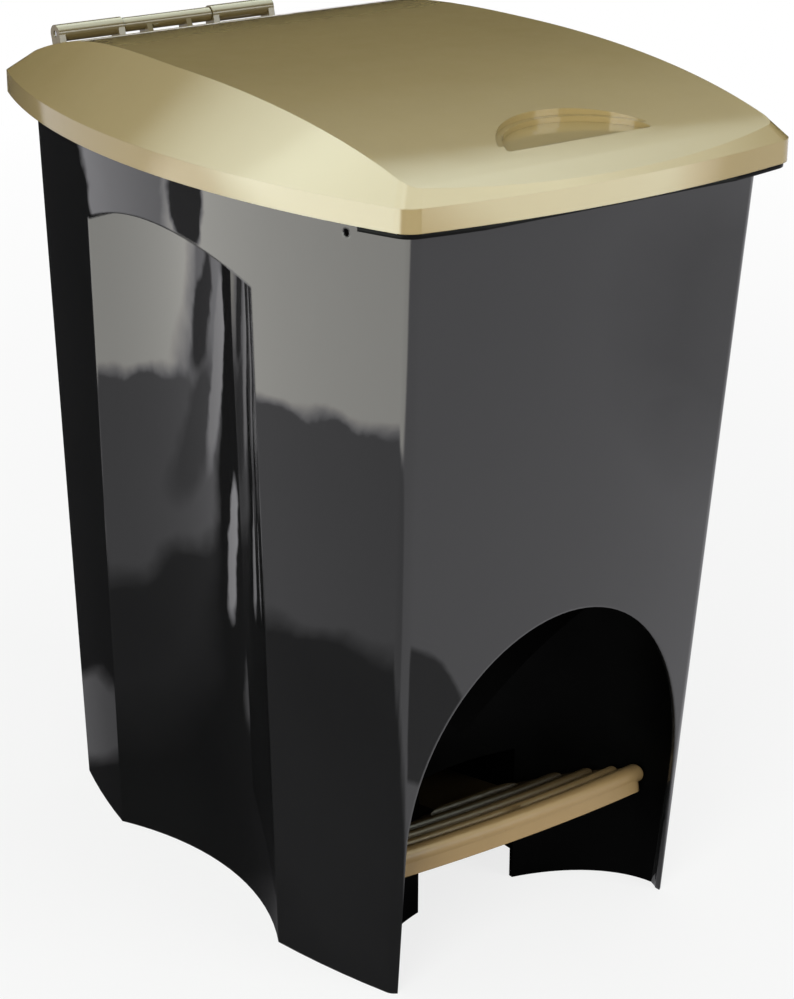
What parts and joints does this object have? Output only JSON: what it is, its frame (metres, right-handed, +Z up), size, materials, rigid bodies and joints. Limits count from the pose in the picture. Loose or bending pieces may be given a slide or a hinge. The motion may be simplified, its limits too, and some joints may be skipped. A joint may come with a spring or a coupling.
{
  "type": "pedal trash can",
  "caption": "Rectangular step-on trash can: bowed gloss shell with side grips, domed hinged lid, ribbed pedal, push rod and lift-out bucket.",
  "frame": {"origin": "on the floor under the middle of the overall box, hinge included", "axes": "+Z up, -Y towards the front where the pedal is, +X towards the right hand of someone facing the front from outside"},
  "size_m": [0.265, 0.3578, 0.4],
  "materials": {
    "body_black": "high gloss moulded black plastic",
    "lid_champagne": "satin-gloss champagne moulded plastic with a faint pearl",
    "pedal_champagne": "satin-gloss tan champagne moulded plastic",
    "bucket_grey": "plain dark grey moulded plastic",
    "steel": "zinc plated steel"
  },
  "bodies": {
    "base": {"body_shell": "body_black", "foot_well": "body_black", "hinge_bracket": "lid_champagne", "bracket_screw_1": "steel", "bracket_screw_2": "steel", "bracket_screw_3": "steel", "bracket_screw_4": "steel", "hinge_pin": "steel", "rod_guide": "body_black", "pedal_axle": "steel", "axle_clip_left": "steel", "axle_clip_right": "steel", "inner_bucket": "bucket_grey", "bucket_bail": "steel", "bail_grip": "body_black"},
    "lid_group": {"lid": "lid_champagne", "lug_pin": "steel", "lug_pin_clip": "steel"},
    "rod_group": {"push_rod": "steel"},
    "pedal_group": {"pedal": "pedal_champagne", "lever_pin": "steel", "lever_pin_clip": "steel"}
  },
  "joints": [
    {"name": "lid_hinge", "type": "hinge", "parent": "base", "child": "lid_group", "pos_m": [0, 0.1746, 0.3835], "axis": [-1, 0, 0], "range_deg": [0, 75]},
    {"name": "rod_slide", "type": "slide", "parent": "base", "child": "rod_group", "axis": [0, 0, 1], "range_m": [0, 0.02457]},
    {"name": "pedal_pivot", "type": "hinge", "parent": "base", "child": "pedal_group", "pos_m": [0, 0.0406, 0.027], "axis": [1, 0, 0], "range_deg": [0, 12.08]}
  ],
  "couplings": [
    {"joint": "rod_slide", "follows": "lid_hinge", "m_per_rad": 0.01877},
    {"joint": "pedal_pivot", "follows": "lid_hinge", "ratio": 0.16109}
  ]
}
